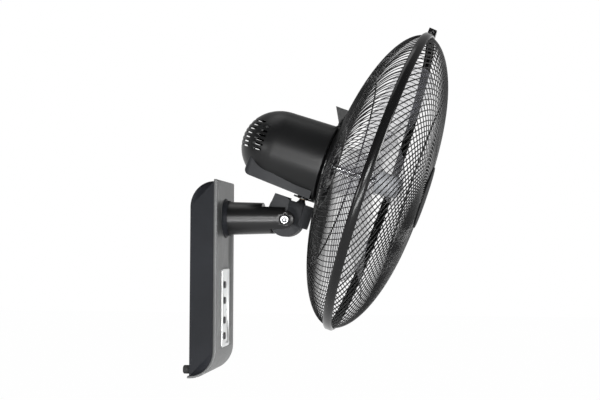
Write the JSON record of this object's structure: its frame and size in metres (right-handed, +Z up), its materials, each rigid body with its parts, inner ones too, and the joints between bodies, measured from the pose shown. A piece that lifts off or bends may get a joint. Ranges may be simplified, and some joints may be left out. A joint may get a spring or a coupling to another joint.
{
  "type": "wall mounted fan",
  "caption": "Wall mounted fan: domed wire guards over paddle blades, a bullet motor head that swings and tilts on an arm, and a flat base box with a press button panel.",
  "frame": {"origin": "middle of the wall bracket's back face, which lies against the wall", "axes": "+X out of the wall, +Z up, -Y towards the side the picture was taken from"},
  "size_m": [0.3661, 0.4388, 0.4924],
  "materials": {
    "base_shell": "satin black moulding",
    "cover_shell": "fine grained dark grey moulding",
    "panel_metal": "pale silver, fine matt",
    "button_cap": "satin dark grey",
    "lens_clear": "clear polished",
    "board_green": "satin resist over glass cloth",
    "switch_black": "satin",
    "zinc_steel": "bright zinc plate",
    "black_steel": "black oxide",
    "soft_rubber": "matt",
    "capacitor_case": "gloss black",
    "terminal_white": "satin cream",
    "arm_paint": "satin black paint",
    "knuckle_grey": "fine grained dark grey",
    "shaft_steel": "ground",
    "washer_fibre": "satin brown fibre",
    "bush_bronze": "oiled sintered bronze",
    "acetal_white": "satin white",
    "motor_iron": "laminated, varnished",
    "winding_copper": "varnished copper",
    "bell_metal": "die cast",
    "shell_paint": "satin black paint",
    "guard_paint": "gloss black paint",
    "badge_silver": "satin silver disc",
    "blade_smoke": "glossy, clear enough to see through, smoke grey",
    "spinner_grey": "satin pale grey"
  },
  "bodies": {
    "base": {"wall_bracket": "zinc_steel", "rear_housing": "base_shell", "front_cover": "cover_shell", "control_panel": "panel_metal", "indicator_lenses": "lens_clear", "control_board": "board_green", "board_pillars": "acetal_white", "key_switches": "switch_black", "housing_screws": "black_steel", "stand_off_feet": "soft_rubber", "cord_grommet": "soft_rubber", "run_capacitor": "capacitor_case", "terminal_block": "terminal_white", "arm_plate": "zinc_steel", "arm_plate_screws": "zinc_steel", "flange_bolts": "zinc_steel", "arm_tube": "arm_paint", "arm_collar": "base_shell", "tilt_bolt": "zinc_steel", "tilt_nut": "black_steel", "friction_washers": "washer_fibre"},
    "neck": {"tilt_knuckle": "knuckle_grey", "stop_plate": "zinc_steel", "stop_screw": "zinc_steel", "neck_shaft": "shaft_steel", "neck_cone": "arm_paint", "thrust_washer": "washer_fibre", "anchor_arm": "zinc_steel"},
    "head": {"neck_bracket": "arm_paint", "neck_bush": "bush_bronze", "swing_motor": "bell_metal", "swing_bracket": "zinc_steel", "stator_core": "motor_iron", "stator_windings": "winding_copper", "front_bell": "bell_metal", "rear_bell": "bell_metal", "shaft_bearings": "shaft_steel", "front_plate": "shell_paint", "plate_screws": "black_steel", "motor_shell": "shell_paint", "lower_cover": "knuckle_grey", "rear_guard": "guard_paint", "front_guard": "guard_paint", "guard_badge": "badge_silver", "guard_nut": "button_cap", "rim_band": "guard_paint", "band_screw": "zinc_steel", "band_nut": "zinc_steel"},
    "link": {"swing_link": "zinc_steel"},
    "crank": {"crank": "acetal_white"},
    "rotor": {"rotor_core": "motor_iron", "motor_shaft": "shaft_steel", "drive_pin": "shaft_steel", "fan_blade": "blade_smoke", "spinner": "spinner_grey"},
    "button_1": {"button_1": "button_cap"},
    "button_2": {"button_2": "button_cap"},
    "button_3": {"button_3": "button_cap"},
    "button_4": {"button_4": "button_cap"}
  },
  "joints": [
    {"name": "tilt", "type": "hinge", "parent": "base", "child": "neck", "pos_m": [0.137, 0, 0.0826], "axis": [0, 1, 0], "range_deg": [-19, 11]},
    {"name": "oscillation", "type": "hinge", "parent": "neck", "child": "head", "pos_m": [0.17822, 0, 0.16708], "axis": [0.3256, 0, 0.9455], "range_deg": [-40, 40]},
    {"name": "link_swing", "type": "hinge", "parent": "neck", "child": "link", "pos_m": [0.17822, 0.014, 0.16708], "axis": [0.3256, 0, 0.9455], "range_deg": [-40, 40]},
    {"name": "crank_turn", "type": "hinge", "parent": "head", "child": "crank", "pos_m": [0.11827, 0.005, 0.18772], "axis": [0.3256, 0, 0.9455], "range_deg": [-90, 90]},
    {"name": "blade_spin", "type": "hinge", "parent": "head", "child": "rotor", "pos_m": [0.2705, 0, 0.1353], "axis": [0.9455, 0, -0.3256], "continuous": true},
    {"name": "button_1_press", "type": "slide", "parent": "base", "child": "button_1", "axis": [-1, 0, 0], "range_m": [0, 0.0008], "stiffness_N_per_m": 1500, "springref_m": -0.0004},
    {"name": "button_2_press", "type": "slide", "parent": "base", "child": "button_2", "axis": [-1, 0, 0], "range_m": [0, 0.0008], "stiffness_N_per_m": 1500, "springref_m": -0.0004},
    {"name": "button_3_press", "type": "slide", "parent": "base", "child": "button_3", "axis": [-1, 0, 0], "range_m": [0, 0.0008], "stiffness_N_per_m": 1500, "springref_m": -0.0004},
    {"name": "button_4_press", "type": "slide", "parent": "base", "child": "button_4", "axis": [-1, 0, 0], "range_m": [0, 0.0008], "stiffness_N_per_m": 1500, "springref_m": -0.0004}
  ],
  "couplings": [
    {"joint": "link_swing", "follows": "oscillation", "ratio": 1},
    {"joint": "crank_turn", "follows": "oscillation", "ratio": -2.25}
  ]
}
